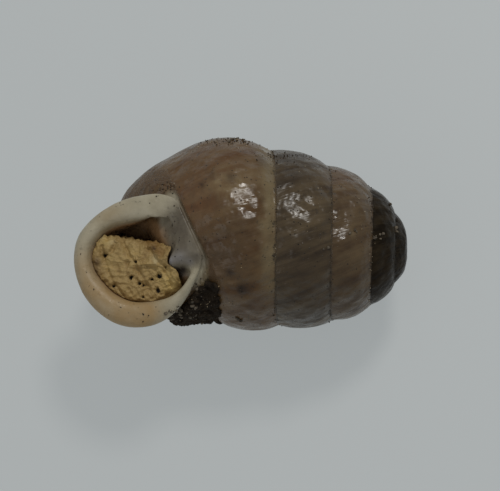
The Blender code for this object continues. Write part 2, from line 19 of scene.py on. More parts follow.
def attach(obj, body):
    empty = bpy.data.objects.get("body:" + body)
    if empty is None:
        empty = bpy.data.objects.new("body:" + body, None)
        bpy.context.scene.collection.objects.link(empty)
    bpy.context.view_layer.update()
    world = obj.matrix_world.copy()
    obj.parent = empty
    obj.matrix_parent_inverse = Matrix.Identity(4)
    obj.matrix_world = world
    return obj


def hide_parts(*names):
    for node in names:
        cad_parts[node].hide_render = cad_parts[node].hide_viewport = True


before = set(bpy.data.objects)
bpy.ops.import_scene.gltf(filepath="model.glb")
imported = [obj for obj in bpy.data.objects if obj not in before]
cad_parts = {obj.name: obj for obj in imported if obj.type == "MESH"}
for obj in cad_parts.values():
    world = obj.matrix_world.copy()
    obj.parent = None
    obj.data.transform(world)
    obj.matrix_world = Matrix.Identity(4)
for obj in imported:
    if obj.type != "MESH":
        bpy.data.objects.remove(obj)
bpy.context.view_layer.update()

# %% [markdown]
# A snail shell is easiest to think of upright on a page: its axis along X with the apex at the origin, the
# mouth facing the reader. The shell on the table has rolled to rest, so the page is turned. This step keeps
# the one matrix between the two, and from here on every piece is shaped on the page in millimetres and laid
# down last.

# %% The page and the table
MM = 0.001
REST_UP = Vector((-0.08368, 0.22416, 0.97095)).normalized()
APEX_ON_TABLE = Vector((0.00161970, 0.00010524, 0.00080172))

page_right = (Vector((1, 0, 0)) - REST_UP * REST_UP.x).normalized()
PAGE_TURN = Matrix((page_right, REST_UP.cross(page_right), REST_UP))
PAGE_TO_TABLE = Matrix.Translation(APEX_ON_TABLE) @ PAGE_TURN.to_4x4() @ Matrix.Scale(MM, 4)
TABLE_TO_PAGE = PAGE_TO_TABLE.inverted()
print("the page faces", [round(x, 2) for x in PAGE_TURN @ Vector((0, 0, 1))])

# %% [markdown]
# The spiral of a shell follows a few numbers: where the seam between two whorls runs at each turn, and
# where the mouth lies. The solid model was built from such a table. Repeating it here tells every point of
# the surface which whorl it is on, and that is what growth lines and colours follow.

# %% Growth of the spiral
HALF_TURN = 0.5
SEAM_DEPTH = np.array(
    (0, 0.040, 0.100, 0.186, 0.304, 0.464, 0.664, 0.905, 1.186, 1.486, 1.806, 2.180, 2.370, 2.520)
)
SEAM_RADIUS = np.array(
    (0, 0.150, 0.280, 0.405, 0.525, 0.634, 0.724, 0.791, 0.842, 0.868, 0.866, 0.846, 0.814, 0.780)
)
TURNS = 5.2
MOST_WHORLS = 6
OFF_EVERY_WHORL = 9.0
ABOVE_SEAM = -0.02
SEAM_AZIMUTH = math.radians(-20.6)
MOUTH_CENTRE = np.array((-2.670, -0.373, 0.660))
MOUTH_NORMAL = np.array((-0.2144, 0.0682, 0.9744))


def at_turn(turns, table):
    """Values of one column of the table, on a smooth curve through its rows."""
    row = np.clip((turns / HALF_TURN).astype(int), 0, len(table) - 2)
    share = turns / HALF_TURN - row
    low, high = table[row], table[row + 1]
    before, after = table[np.maximum(row - 1, 0)], table[np.minimum(row + 2, len(table) - 1)]
    leave, arrive = (high - before) / 2, (after - low) / 2
    rest = 1 - share
    return (
        low * (1 + 2 * share) * rest**2 + leave * share * rest**2
        + high * share**2 * (3 - 2 * share) - arrive * share**2 * rest
    )


def ease(low, high, values):
    """0 below low, 1 above high, and a smooth step between them."""
    share = np.clip((values - low) / (high - low), 0, 1)
    return share * share * (3 - 2 * share)


def cylinder_places(points):
    """Depth and radius of points on the page, and the turn of the newest whorl on their side of the axis."""
    azimuth = np.arctan2(points[:, 1], points[:, 2])
    newest = TURNS - (SEAM_AZIMUTH - azimuth) % (2 * math.pi) / (2 * math.pi)
    return -points[:, 0], np.hypot(points[:, 1], points[:, 2]), newest


def whorl_places(points):
    """The turn at which each point grew, and how far it is from the upper seam to the lower."""
    depth, radius, newest = cylinder_places(points)
    turn, across = newest.copy(), np.full(len(points), OFF_EVERY_WHORL)
    for back in range(MOST_WHORLS):
        here = np.maximum(newest - back, 0)
        upper = np.stack((at_turn(here, SEAM_DEPTH), at_turn(here, SEAM_RADIUS)), 1)
        lower = np.stack((at_turn(here + 1, SEAM_DEPTH), at_turn(here + 1, SEAM_RADIUS)), 1)
        chord = lower - upper
        offset = np.stack((depth, radius), 1) - upper
        share = (offset * chord).sum(1) / (chord**2).sum(1)
        taken = (newest > back) & (share >= ABOVE_SEAM) & ((share < across) | (back == 0))
        turn[taken], across[taken] = here[taken], share[taken]
    return turn, np.clip(across, 0, 3)


def seam_point(turn):
    """The point of the seam at a turn, on the page."""
    angle = SEAM_AZIMUTH - 2 * math.pi * (TURNS - turn)
    depth, radius = at_turn(np.array([turn]), SEAM_DEPTH)[0], at_turn(np.array([turn]), SEAM_RADIUS)[0]
    return Vector((-depth, radius * math.sin(angle), radius * math.cos(angle)))


print("seam radius after each turn, in mm:", at_turn(np.arange(1.0, 6.0), SEAM_RADIUS).round(2))

# %% [markdown]
# A photograph of something this small is taken through a long lens, so there is hardly any perspective. The
# camera stands straight over the page, tilted a little in its own plane. It could be aimed by eye, but
# taking its directions from the page keeps the object where it is in the picture.

# %% Camera
PICTURE_WIDTH = 500
PICTURE_HEIGHT = 491
MM_PER_PIXEL = 0.00982
PICTURE_RIGHT = Vector((0.9925, 0.1219, 0))
PICTURE_UP = Vector((-0.1219, 0.9925, 0))
PICTURE_CENTRE = Vector((-1.5648, -0.0902, 0.30))
LENS = 400
SENSOR = 36
CLIP = (0.001, 10)

camera_data = bpy.data.cameras.new("camera")
camera_data.lens = LENS
camera_data.sensor_width = SENSOR
camera_data.clip_start, camera_data.clip_end = CLIP
camera = bpy.data.objects.new("camera", camera_data)
bpy.context.scene.collection.objects.link(camera)
bpy.context.scene.camera = camera
camera_distance = PICTURE_WIDTH * MM_PER_PIXEL * LENS / SENSOR
camera_place = PAGE_TO_TABLE @ (PICTURE_CENTRE + Vector((0, 0, camera_distance)))
camera_axes = [PAGE_TURN @ axis for axis in (PICTURE_RIGHT, PICTURE_UP, Vector((0, 0, 1)))]
camera.matrix_world = Matrix.Translation(camera_place) @ Matrix(camera_axes).transposed().to_4x4()
print("camera", round(camera_distance, 1), "mm away")


def page_at_pixel(x, y):
    """The point of the page that a pixel of the photograph shows."""
    right = (x - PICTURE_WIDTH / 2) * MM_PER_PIXEL
    up = (PICTURE_HEIGHT / 2 - y) * MM_PER_PIXEL
    return PICTURE_CENTRE + PICTURE_RIGHT * right + PICTURE_UP * up


# %% [markdown]
# Small shells are lit softly so that their gloss shows without glare. One lamp above the top of the picture
# gives the highlights on the upper side of each whorl, a weak one fills from below, and a dim pale sky
# lights the shadows. Their places are worked out from the camera's directions, so they stay right however
# the shell lies.

# %% Light
AIM = PAGE_TO_TABLE @ PICTURE_CENTRE
LAMP_DISTANCE = 0.070
SKY_COLOUR = (0.93, 0.96, 0.97, 1)
SKY_STRENGTH = 0.26


def lamp(name, towards_up, towards_right, size, watts, colour):
    """A round soft lamp that faces the shell, these degrees from the camera's own direction."""
    tilt_up, tilt_right = math.radians(towards_up), math.radians(towards_right)
    across = PICTURE_UP * math.tan(tilt_up) + PICTURE_RIGHT * math.tan(tilt_right)
    away = PAGE_TURN @ (Vector((0, 0, 1)) + across).normalized()
    data = bpy.data.lights.new(name, "AREA")
    data.shape = "DISK"
    data.size = size
    data.energy = watts
    data.color = colour
    obj = bpy.data.objects.new(name, data)
    bpy.context.scene.collection.objects.link(obj)
    obj.location = AIM + away * LAMP_DISTANCE
    obj.rotation_mode = "QUATERNION"
    obj.rotation_quaternion = away.to_track_quat("Z", "Y")


lamp("lamp_key", 44, 13, 0.015, 0.0155, (1.0, 0.98, 0.94))
lamp("lamp_fill", -20, -40, 0.050, 0.0034, (0.98, 0.99, 1.0))

world = bpy.data.worlds.new("pale_sky")
bpy.context.scene.world = world
world.use_nodes = True
world.node_tree.nodes["Background"].inputs["Color"].default_value = SKY_COLOUR
world.node_tree.nodes["Background"].inputs["Strength"].default_value = SKY_STRENGTH
bpy.context.scene.view_settings.view_transform = "Standard"

# %% [markdown]
# Materials are built from nodes. A few short helpers keep the cells below readable: one adds a node and
# sets its plain values, one makes a node group with named sockets. A group holds one effect, and gives out
# only masks, heights and tones.

# %% Node helpers
def feed(tree, socket, value):
    """Sets a socket: links another socket to it, or gives it a plain number or colour."""
    if isinstance(value, bpy.types.NodeSocket):
        tree.links.new(value, socket)
    elif isinstance(value, tuple) and len(value) == 3 and socket.type == "RGBA":
        socket.default_value = (*value, 1)
    else:
        socket.default_value = value


def add_node(tree, kind, inputs=None, **settings):
    """Adds a node, sets its own settings, then its inputs by name or number."""
    node = tree.nodes.new(kind)
    for name, value in settings.items():
        setattr(node, name, value)
    for name, value in (inputs or {}).items():
        feed(tree, node.inputs[name], value)
    return node


def maths(tree, operation, *values):
    return add_node(tree, "ShaderNodeMath", dict(enumerate(values)), operation=operation).outputs[0]


def times(tree, one, other):
    return maths(tree, "MULTIPLY", one, other)


def times_plus(tree, one, other, added):
    return maths(tree, "MULTIPLY_ADD", one, other, added)


def mix_colour(tree, share, one, other, blend="MIX"):
    """One colour Mix node, from one to other by the share."""
    inputs = {0: share, 6: one, 7: other}
    return add_node(tree, "ShaderNodeMix", inputs, data_type="RGBA", blend_type=blend).outputs[2]


def step(tree, value, low, high, low_out=0.0, high_out=1.0):
    """A smooth step: low_out below low, high_out above high."""
    inputs = {0: value, 1: low, 2: high, 3: low_out, 4: high_out}
    return add_node(tree, "ShaderNodeMapRange", inputs, interpolation_type="SMOOTHSTEP").outputs[0]


def noise_at(tree, vector, scale, detail=3.0, roughness=0.55):
    inputs = {"Vector": vector, "Scale": scale, "Detail": detail, "Roughness": roughness}
    return add_node(tree, "ShaderNodeTexNoise", inputs).outputs[0]


def attribute(tree, name):
    return add_node(tree, "ShaderNodeAttribute", attribute_name=name).outputs["Fac"]


def new_group(name, inputs, outputs):
    """An empty node group. An input has a plain value, or None for a vector. Outputs are all values."""
    tree = bpy.data.node_groups.new(name, "ShaderNodeTree")
    for socket_name, value in inputs.items():
        kind = "NodeSocketVector" if value is None else "NodeSocketFloat"
        socket = tree.interface.new_socket(socket_name, in_out="INPUT", socket_type=kind)
        if value is not None:
            socket.default_value = value
    for socket_name in outputs:
        tree.interface.new_socket(socket_name, in_out="OUTPUT", socket_type="NodeSocketFloat")
    return tree, tree.nodes.new("NodeGroupInput").outputs, tree.nodes.new("NodeGroupOutput").inputs


def use_group(tree, group, inputs):
    node = add_node(tree, "ShaderNodeGroup", node_tree=group)
    for name, value in inputs.items():
        feed(tree, node.inputs[name], value)
    return node.outputs


def new_material(name):
    """A material with only a Principled shader, and the piece's own coordinates in millimetres."""
    material = bpy.data.materials.new(name)
    material.use_nodes = True
    tree = material.node_tree
    coordinates = add_node(tree, "ShaderNodeTexCoord").outputs["Object"]
    in_mm = add_node(tree, "ShaderNodeMapping", {"Vector": coordinates, "Scale": (1 / MM, 1 / MM, 1 / MM)})
    return material, tree, tree.nodes["Principled BSDF"], in_mm.outputs[0]


def finish_surface(tree, shader, colour, roughness, height, depth_mm):
    """Links a colour and a roughness to the shader, and a height as a bump of this depth."""
    feed(tree, shader.inputs["Base Color"], colour)
    feed(tree, shader.inputs["Roughness"], roughness)
    bump = add_node(tree, "ShaderNodeBump", {"Height": height, "Distance": depth_mm * MM, "Strength": 1.0})
    feed(tree, shader.inputs["Normal"], bump.outputs[0])


def dress(obj, material):
    obj.data.materials.append(material)
    print(obj.name, "wears", material.name, "with", len(material.node_tree.nodes), "nodes")


print("kinds of shader node:", sum(name.startswith("ShaderNode") for name in dir(bpy.types)))

# %% [markdown]
# Three effects are node groups, so that a finish can use them in one line. Growth lines are noise stretched
# along the lines of growth. Grime is a scatter of dark specks that thickens where its amount is high.
# Mottle is the cloudy unevenness of anything natural, and every finish on the shell uses it.

# %% Shared effects
COARSE_LINES_PER_TURN = 38.0
MOST_SPECKS = 0.12
SMEAR_SCALE = 14.0


def make_growth_lines():
    inputs = {"Growth": None, "Lines per turn": 140.0, "Slant": 0.05}
    tree, given, out = new_group("growth_lines", inputs, ("Height", "Tone"))
    parts = add_node(tree, "ShaderNodeSeparateXYZ", {0: given["Growth"]}).outputs
    slanted = times_plus(tree, parts["Y"], given["Slant"], parts["X"])
    along = times(tree, slanted, given["Lines per turn"])
    coarse_along = times(tree, slanted, COARSE_LINES_PER_TURN)
    fine = add_node(tree, "ShaderNodeCombineXYZ", {"X": along, "Y": parts["Y"], "Z": 0.0}).outputs[0]
    coarse = add_node(tree, "ShaderNodeCombineXYZ", {"X": coarse_along, "Y": parts["Y"], "Z": 3.0}).outputs[0]
    fine_noise = noise_at(tree, fine, 1.0, 2.0, 0.6)
    coarse_noise = noise_at(tree, coarse, 1.0, 2.0, 0.5)
    feed(tree, out["Height"], times_plus(tree, coarse_noise, 0.6, fine_noise))
    feed(tree, out["Tone"], step(tree, times_plus(tree, fine_noise, 0.35, coarse_noise), 0.45, 0.85))
    return tree


def make_grime():
    inputs = {"Vector": None, "Amount": 0.3, "Speck size": 0.02}
    tree, given, out = new_group("grime", inputs, ("Mask", "Height"))
    scale = maths(tree, "DIVIDE", 1.0, given["Speck size"])
    cells = add_node(tree, "ShaderNodeTexVoronoi", {"Vector": given["Vector"], "Scale": scale})
    lucky = add_node(tree, "ShaderNodeSeparateColor", {0: cells.outputs["Color"]}).outputs[0]
    few = maths(tree, "MINIMUM", given["Amount"], MOST_SPECKS)
    chosen = step(tree, maths(tree, "SUBTRACT", few, lucky), -0.03, 0.03)
    near = step(tree, cells.outputs["Distance"], 0.18, 0.42, 1.0, 0.0)
    patches = noise_at(tree, given["Vector"], SMEAR_SCALE, 4.0, 0.65)
    smear = step(tree, times_plus(tree, given["Amount"], 0.55, patches), 0.61, 0.84)
    speck = times(tree, chosen, near)
    feed(tree, out["Mask"], maths(tree, "MAXIMUM", speck, smear))
    feed(tree, out["Height"], speck)
    return tree


def make_mottle():
    tree, given, out = new_group("mottle", {"Vector": None, "Scale": 4.0, "Contrast": 0.5}, ("Mask",))
    cloud = noise_at(tree, given["Vector"], given["Scale"], 4.0, 0.6)
    low = times_plus(tree, given["Contrast"], -0.4, 0.5)
    high = times_plus(tree, given["Contrast"], 0.4, 0.5)
    feed(tree, out["Mask"], step(tree, cloud, low, high))
    return tree


GROWTH_LINES, GRIME, MOTTLE = make_growth_lines(), make_grime(), make_mottle()


def mottle(tree, vector, scale, contrast):
    return use_group(tree, MOTTLE, {"Vector": vector, "Scale": scale, "Contrast": contrast})["Mask"]


print("node groups:", [group.name for group in bpy.data.node_groups])

# %% [markdown]
# The shell needs something pale to lie on, with only a faint shadow. Lamps on all sides would give that,
# but they would flatten the shell's own shading too. So the plane gets a little glow of its own, which
# fills most of the shadow. It is staged, so it is not part of the object.

# %% Table
TABLE_SIZE = 0.6
TABLE_LOOK = {
    "Base Color": (0.165, 0.168, 0.166), "Emission Color": (0.300, 0.322, 0.326), "Emission Strength": 1.0,
    "Roughness": 0.38, "Specular IOR Level": 0.35,
}
bpy.ops.object.select_all(action="DESELECT")
bpy.ops.mesh.primitive_plane_add(size=TABLE_SIZE, location=(0, 0, 0))
table = bpy.context.object
table.name = "table"
table_finish, tree, shader, _ = new_material("pale_table")
for name, value in TABLE_LOOK.items():
    feed(tree, shader.inputs[name], value)
dress(table, table_finish)

# %% [markdown]
# Each visible piece starts as a copy of its solid, because then it fills the same space. The solid is made of
# loose triangles, so its doubles are merged and its triangles joined to four-sided faces, which a Subdivision
# Surface rounds much better. The copy is worked on the page, in millimetres.

# %% Copies of the solids
MERGE_NEARER = 0.0002
FACE_TURN = math.radians(50)
CORNER_MISS = math.radians(60)


def select_only(obj):
    bpy.ops.object.select_all(action="DESELECT")
    obj.select_set(True)
    bpy.context.view_layer.objects.active = obj


def copy_of_solid(node, name):
    """A copy of a CAD node on the page, merged, with four-sided faces where they fit."""
    obj = bpy.data.objects.new(name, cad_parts[node].data.copy())
    bpy.context.scene.collection.objects.link(obj)
    obj.data.materials.clear()
    obj.data.transform(TABLE_TO_PAGE)
    select_only(obj)
    bpy.ops.mesh.customdata_custom_splitnormals_clear()
    bpy.ops.object.mode_set(mode="EDIT")
    bpy.ops.mesh.select_all(action="SELECT")
    bpy.ops.mesh.remove_doubles(threshold=MERGE_NEARER)
    bpy.ops.mesh.tris_convert_to_quads(face_threshold=FACE_TURN, shape_threshold=CORNER_MISS)
    bpy.ops.object.mode_set(mode="OBJECT")
    bpy.ops.object.shade_smooth()
    return obj


def subdivide(obj, levels):
    modifier = obj.modifiers.new("round", "SUBSURF")
    modifier.levels = levels
    modifier.render_levels = levels
    select_only(obj)
    bpy.ops.object.modifier_apply(modifier=modifier.name)


def points_of(obj, kind="co"):
    flat = np.empty(len(obj.data.vertices) * 3)
    obj.data.vertices.foreach_get(kind, flat)
    return flat.reshape(-1, 3)


def set_points(obj, points):
    obj.data.vertices.foreach_set("co", np.asarray(points, np.float32).ravel())
    obj.data.update()


def store(obj, name, values):
    """Keeps a value on each point of a piece, for its material to read."""
    made = obj.data.attributes.new(name, "FLOAT", "POINT")
    made.data.foreach_set("value", np.asarray(values, np.float32))


def wobble(points, scale, octaves=3, seed=0.0):
    """Fractal noise at each point, from about -1 to 1."""
    shift = Vector((seed, seed * 1.7, -seed))
    return np.array([noise.fractal(Vector(p) * scale + shift, 0.9, 2.1, octaves) for p in points])


shell = copy_of_solid("shell", "snail_shell")
print("shell:", len(shell.data.vertices), "points,", len(shell.data.polygons), "faces before rounding")

# %% [markdown]
# Where a new whorl is cemented to the one before there is a sharp valley, the suture. Subdivision would
# fill it, so the edges along it get a crease. They are found by place: both ends lie on the seam of the
# growth table.

# %% Rounded shell with sharp seams
SEAM_CREASE = 0.85
SEAM_MISS = 0.004
CREASED_FROM_TURN = 0.9
SHELL_LEVELS = 2


def crease_seams(obj):
    depth, radius, newest = cylinder_places(points_of(obj))
    on_seam = np.zeros(len(depth), bool)
    for back in range(MOST_WHORLS):
        here = np.maximum(newest - back, 0)
        miss = np.hypot(depth - at_turn(here, SEAM_DEPTH), radius - at_turn(here, SEAM_RADIUS))
        on_seam |= (here > CREASED_FROM_TURN) & (miss < SEAM_MISS)
    ends = np.empty(len(obj.data.edges) * 2, int)
    obj.data.edges.foreach_get("vertices", ends)
    both = on_seam[ends.reshape(-1, 2)].all(1)
    crease = obj.data.attributes.new("crease_edge", "FLOAT", "EDGE")
    crease.data.foreach_set("value", (both * SEAM_CREASE).astype(np.float32))
    return int(both.sum())


print("creased seam edges:", crease_seams(shell))
subdivide(shell, SHELL_LEVELS)
print("rounded shell:", len(shell.data.polygons), "faces")

# %% [markdown]
# The lip, the throat and the neck are one surface with different finishes, so every point has to be told
# apart by place. Seen from over the mouth a point has an angle, a radius and a height above the plane of
# the lip. The outlines of the rim were measured at fifteen angles, and a straight line parts the mouth from
# the body whorl.

# %% Places in the mouth
RIM_ANGLE = (8, 35, 63, 76, 92, 110, 142, 170, 196, 214, 246, 280, 305, 323, 345)
RIM_OUTER = (
    0.665, 0.690, 0.745, 0.715, 0.655, 0.615, 0.610, 0.630, 0.622, 0.618, 0.645, 0.668, 0.655, 0.625, 0.620,
)
RIM_INNER = (
    0.510, 0.420, 0.420, 0.400, 0.385, 0.385, 0.427, 0.455, 0.435, 0.410, 0.388, 0.400, 0.431, 0.492, 0.535,
)
SEAM_END = np.array((-1.9605, -0.3025))
CORNER = np.array((-2.3300, 0.2920))


def mouth_places(points):
    """From the mouth's middle: angle in degrees, radius past the rim's two outlines, and height."""
    offset = points - MOUTH_CENTRE
    angle = np.degrees(np.arctan2(offset[:, 1], offset[:, 0])) % 360
    radius = np.hypot(offset[:, 0], offset[:, 1])
    past_outer = radius - np.interp(angle, RIM_ANGLE, RIM_OUTER, period=360)
    past_inner = radius - np.interp(angle, RIM_ANGLE, RIM_INNER, period=360)
    return angle, past_outer, past_inner, offset @ MOUTH_NORMAL


def past_body_line(points):
    """How far a point is past the line from the seam's end to the corner, on the side of the spire."""
    along = (CORNER - SEAM_END) / np.linalg.norm(CORNER - SEAM_END)
    offset = points[:, :2] - SEAM_END
    return offset[:, 0] * along[1] - offset[:, 1] * along[0]


print("the mouth is about", round(2 * float(np.mean(RIM_INNER)), 2), "mm across inside the lip")

# %% [markdown]
# Stains and spots are soft round marks: a pixel, a radius in pixels and a strength. They are few: tan stains
# low on the lip, a warmer brown near it, paler patches where the shell shines, which are partly wear and
# partly a painted sheen, painted shade on the darker flanks and small dark spots on the last whorl. They
# could be painted on an image, but kept on the points they need no texture file.

# %% Marks on the shell
DIRTY_CORNER = ((173, 187, 5.5, 1.0),)
MARKS = {
    # Painted shade in the recess beside the tooth.
    "nook_shade": ((177, 271, 5.0, 1.0), (184, 270, 5.0, 1.0), (179, 278, 5.0, 1.0), (175, 285, 4.0, 1.0)),
    "tooth": ((170, 261, 4.5, 0.9), (180, 258, 6.5, 0.6), (190, 262, 4.0, 0.5)),
    "stain": (
        (92, 292, 34, 0.8), (124, 312, 30, 0.9), (146, 316, 14, 1.0), (108, 212, 16, 0.35),
        (82, 262, 12, 0.4),
    ),
    "warm": ((190, 205, 26, 1.0), (205, 165, 30, 0.6), (240, 150, 22, 0.5), (345, 172, 20, 0.6)),
    # Paler patches where the shell shines: partly wear, partly a painted sheen.
    "pale": (
        (240, 185, 8, 0.6), (214, 184, 7, 0.6), (268, 246, 4, 0.9), (226, 180, 14, 0.7), (232, 196, 16, 0.6),
        (256, 172, 12, 0.5), (352, 232, 9, 0.6), (300, 205, 18, 0.4),
    ),
    # Painted shade on the darker flanks.
    "shade": (
        (228, 245, 26, 0.40), (250, 312, 18, 0.2), (296, 160, 24, 0.45), (300, 285, 26, 0.35),
        (345, 285, 24, 0.35), (288, 182, 16, 0.2), (276, 240, 14, 0.15),
    ),
    "spots": (
        (230, 272, 4.5, 1.0), (244, 288, 5.5, 1.0), (240, 289, 4.0, 0.8), (202, 186, 2.6, 0.9),
        (294, 253, 4.0, 0.8), (231, 178, 5.0, 0.7), (262, 160, 6.0, 0.5), (212, 176, 3.5, 0.5),
        (330, 262, 6.0, 0.5), (300, 276, 9.0, 0.3),
    ),
}
CAMERA_SIDE = (-0.1, 0.2)


def soft_disc(points, x, y, radius):
    """1 at a pixel, fading to 0 over a radius in pixels."""
    centre = page_at_pixel(x, y)
    distance = np.hypot(points[:, 0] - centre.x, points[:, 1] - centre.y) / (radius * MM_PER_PIXEL)
    return np.exp(-(distance**2))


def marks(points, places):
    """The sum of soft round marks on the side of the camera."""
    total = np.zeros(len(points))
    for x, y, radius, strength in places:
        total += strength * soft_disc(points, x, y, radius) * ease(*CAMERA_SIDE, points[:, 2])
    return np.clip(total, 0, 1)


print("marks of each kind:", {name: len(places) for name, places in MARKS.items()})

# %% [markdown]
# Now every point learns what it is: how far it is lip, throat or callus, how near a seam, and how old. The
# values fade into each other over a few hundredths of a millimetre, because on the real shell one thing
# grew out of the other. The material reads them by name.

# %% What each point of the shell is
BAND_WIDTH = 0.19
BAND_EDGE = (0.25, 1.2)
BAND_TURNS = (4.06, 4.22)
SEAM_LINE_WIDTH = 0.017
LIP_HEIGHTS = (-0.19, -0.11)
LIP_OUTER_EDGE = (0.02, 0.08)
LIP_BODY_EDGE = (-0.01, 0.03)
THROAT_DEPTHS = (0.06, 0.20)
THROAT_ENDS = (1.1, 1.3)
THROAT_EDGE = (-0.02, 0.05)
CALLUS_STARTS = (-8, 12)
CALLUS_ENDS = (50, 75)


def label_shell(obj):
    points = points_of(obj)
    angle, past_outer, past_inner, height = mouth_places(points)
    lip = ease(*LIP_HEIGHTS, height) * (1 - ease(*LIP_OUTER_EDGE, past_outer))
    lip *= (1 - ease(*LIP_BODY_EDGE, past_body_line(points))) * (1 - marks(points, DIRTY_CORNER))
    throat = ease(*THROAT_DEPTHS, -height) * (1 - ease(*THROAT_EDGE, past_inner))
    throat *= 1 - ease(*THROAT_ENDS, -height)
    on_body = ease(*CALLUS_STARTS, angle) * (1 - ease(*CALLUS_ENDS, angle))
    turns, shares = whorl_places(points)
    width = at_turn(turns + 1, SEAM_DEPTH) - at_turn(turns, SEAM_DEPTH)
    has_lower_seam = (shares < 1) & (turns < TURNS - 1)
    from_seam = np.where(has_lower_seam, np.minimum(shares, 1 - shares), shares) * width
    band = (1 - ease(*BAND_EDGE, shares * width / BAND_WIDTH)) * ease(*BAND_TURNS, turns)
    seam = np.exp(-((from_seam / SEAM_LINE_WIDTH) ** 2)) * (1 - lip) * (1 - throat)
    values = {"lip": lip, "throat": throat, "callus": on_body * lip, "seam": seam, "age": turns / TURNS}
    values["band"] = band * (1 - lip)
    for name, value in values.items():
        store(obj, name, value)
    for name, places in MARKS.items():
        store(obj, name, marks(points, places))
    print("points on the lip:", int((lip > 0.5).sum()), "and in the throat:", int((throat > 0.5).sum()))
    return points


shell_points = label_shell(shell)

# %% [markdown]
# Growth lines need a map that runs with the whorl: one way along the turns, the other from seam to seam. It
# is a UV map and not a value on the points, because at a seam two whorls share a point but not a place on
# the map.

# %% Growth map
NECK_HEIGHTS = (-0.75, -0.25)
NECK_OUTER_EDGE = (0.05, 0.25)
NECK_BODY_EDGE = (0.0, 0.03)
TO_FACE_MIDDLE = 0.02
MM_PER_TURN = 5.0


def map_growth(obj, points):
    """Turn and share between the seams at each corner. In the neck the lines follow the lip."""
    corners = np.empty(len(obj.data.loops), int)
    obj.data.loops.foreach_get("vertex_index", corners)
    totals = np.empty(len(obj.data.polygons), int)
    obj.data.polygons.foreach_get("loop_total", totals)
    face = np.repeat(np.arange(len(totals)), totals)
    middles = np.stack([np.bincount(face, points[corners, k]) for k in range(3)], 1) / totals[:, None]
    inside_face = points[corners] * (1 - TO_FACE_MIDDLE) + middles[face] * TO_FACE_MIDDLE
    turn, across = whorl_places(inside_face)
    _, past_outer, _, height = mouth_places(inside_face)
    in_neck = ease(*NECK_HEIGHTS, height) * (1 - ease(*NECK_OUTER_EDGE, past_outer))
    in_neck *= 1 - ease(*NECK_BODY_EDGE, past_body_line(inside_face))
    turn = turn * (1 - in_neck) + (TURNS + height / MM_PER_TURN) * in_neck
    layer = obj.data.uv_layers.new(name="growth")
    layer.data.foreach_set("uv", np.stack((turn, across), 1).astype(np.float32).ravel())
    return turn, across


turn, across = map_growth(shell, shell_points)
print("turns from", turn.min().round(2), "to", turn.max().round(2), "and shares to", across.max().round(2))

# %% [markdown]
# A snail adds to its shell in small steps, and each rest leaves a low ridge across the whorl. Two things
# are moved in the mesh itself, because they catch the light and show on the outline: the coarser ridges,
# and the slight unevenness of a shell that was never turned on a lathe. The finest lines are left to the
# material. Five nudges of a few hundredths of a millimetre bring the outline to its place, and the very tip
# of the spire is rounded off.

# %% Relief of the shell
RIDGES_PER_TURN = 46
RIDGE_SLANT = 0.05
RIDGE_HEIGHT = 0.0040
WAVES_ACROSS = 0.8
UNEVEN = 0.006
UNEVEN_SCALE = 3.2
UPPER_SEAM = (0.03, 0.16)
LOWER_SEAM = (0.90, 0.99)
PAST_WHORL = 1.05
BEHIND_LIP = (0.2, 0.6)
YOUNG_TURNS = (0.3, 1.2)
APEX_TOP = -0.010
APEX_DOME = 0.5
NUDGES = (
    (198, 326, 14, 0.0, 0.050), (128, 190, 20, -0.030, 0.012), (150, 168, 22, -0.020, 0.020),
    (185, 146, 24, -0.006, 0.020), (212, 138, 20, 0.0, 0.012),
)
NUDGED_BELOW = (0.35, 0.60)


def nudge(points, places=NUDGES):
    """Moves low-lying points near a pixel, over a radius in pixels, by so many millimetres right and up."""
    for x, y, radius, right, up in places:
        share = soft_disc(points, x, y, radius) * (1 - ease(*NUDGED_BELOW, points[:, 2]))
        points[:, :2] += share[:, None] * (right, up)
    return points


def raise_relief(obj, points):
    """Ridges away from seams and lip, unevenness all over, then the outline and the tip."""
    turns, shares = whorl_places(points)
    height = mouth_places(points)[3]
    near_next = ease(*LOWER_SEAM, shares) * (shares < PAST_WHORL) * (turns < TURNS - 1)
    away_from_seam = ease(*UPPER_SEAM, shares) * (1 - near_next)
    free = away_from_seam * ease(*BEHIND_LIP, -height) * ease(*YOUNG_TURNS, turns)
    across = shares * WAVES_ACROSS
    along = np.stack(((turns + shares * RIDGE_SLANT) * RIDGES_PER_TURN, across, np.zeros(len(points))), 1)
    ridges = wobble(along, 1.0, 2)
    uneven = wobble(points, UNEVEN_SCALE, 3, 5.0)
    move = ridges * RIDGE_HEIGHT * free + uneven * UNEVEN
    moved = nudge(points + points_of(obj, "normal") * move[:, None])
    moved[:, 0] = np.minimum(moved[:, 0], APEX_TOP - APEX_DOME * (moved[:, 1] ** 2 + moved[:, 2] ** 2))
    set_points(obj, moved)
    return np.abs(move).max()


print("relief up to", round(raise_relief(shell, shell_points), 4), "mm")


def surface_tree(obj):
    """The surface of a piece, for finding what lies under a pixel or near a point."""
    faces = [tuple(face.vertices) for face in obj.data.polygons]
    return BVHTree.FromPolygons([Vector(p) for p in points_of(obj)], faces)


shell_surface = surface_tree(shell)
